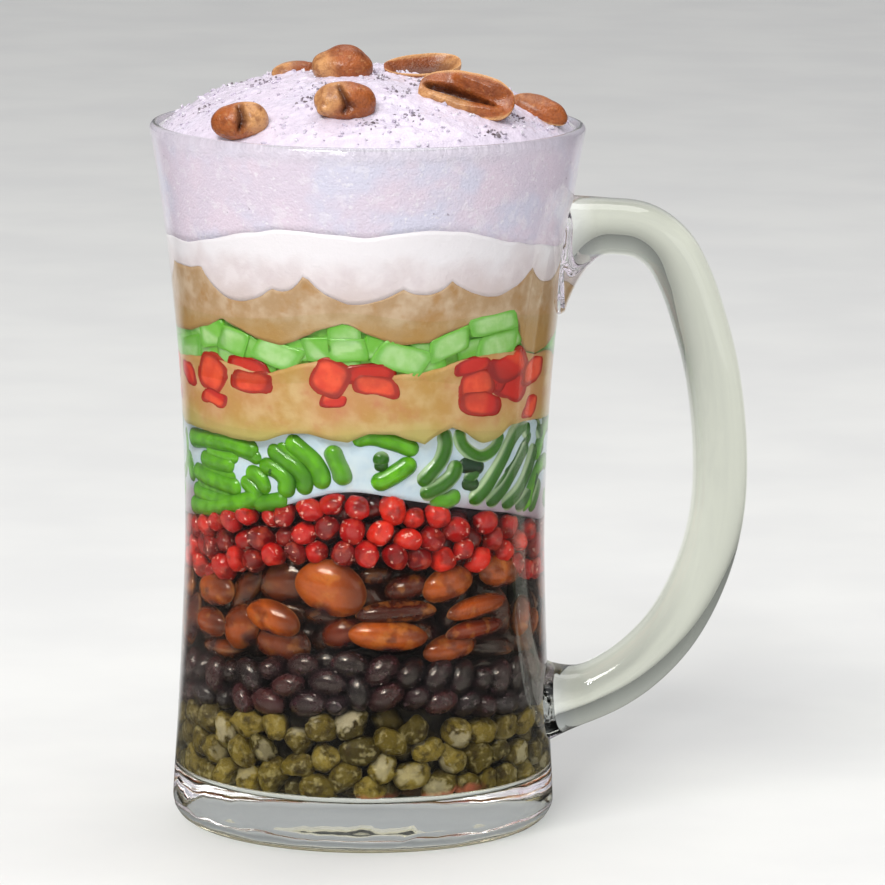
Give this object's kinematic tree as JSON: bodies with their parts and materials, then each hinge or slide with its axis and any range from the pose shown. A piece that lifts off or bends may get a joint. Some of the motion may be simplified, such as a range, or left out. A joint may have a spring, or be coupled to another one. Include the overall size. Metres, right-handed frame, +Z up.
{
  "type": "mixed bean che dessert in a glass mug",
  "caption": "Layered bean, jelly, bean paste, coconut cream and shaved ice dessert in a tall flared glass mug with one handle, topped with roasted peanuts.",
  "frame": {"origin": "centre of the mug's foot, on the table", "axes": "+Z up the mug; +X towards the handle; the side shown faces -Y"},
  "size_m": [0.1274, 0.0924, 0.1673],
  "materials": {
    "glass": "clear thick pressed glass, faintly green",
    "mung": "cooked olive-green skins, mottled",
    "black": "purple-black, wet and glossy",
    "kidney": "orange-brown to dark red, wet",
    "ruby": "ruby red, glossy",
    "pandan": "green jelly strands in coconut milk",
    "lower_paste": "tan bean paste",
    "red_jelly": "red jelly cubes",
    "green_jelly": "pale green jelly cubes",
    "upper_paste": "beige bean paste",
    "cream": "coconut cream",
    "ice": "shaved ice, faintly lilac",
    "peanut": "roasted, golden brown"
  },
  "bodies": {
    "root": {"glass_mug": "glass", "mung_beans": "mung", "black_beans": "black", "kidney_beans": "kidney", "ruby_seeds": "ruby", "pandan_jelly": "pandan", "lower_bean_paste": "lower_paste", "red_jelly": "red_jelly", "green_jelly": "green_jelly", "upper_bean_paste": "upper_paste", "coconut_cream": "cream", "shaved_ice": "ice", "peanut_1": "peanut", "peanut_2": "peanut", "peanut_3": "peanut", "peanut_4": "peanut", "peanut_5": "peanut", "peanut_6": "peanut", "peanut_7": "peanut", "peanut_8": "peanut", "peanut_9": "peanut"}
  },
  "joints": []
}
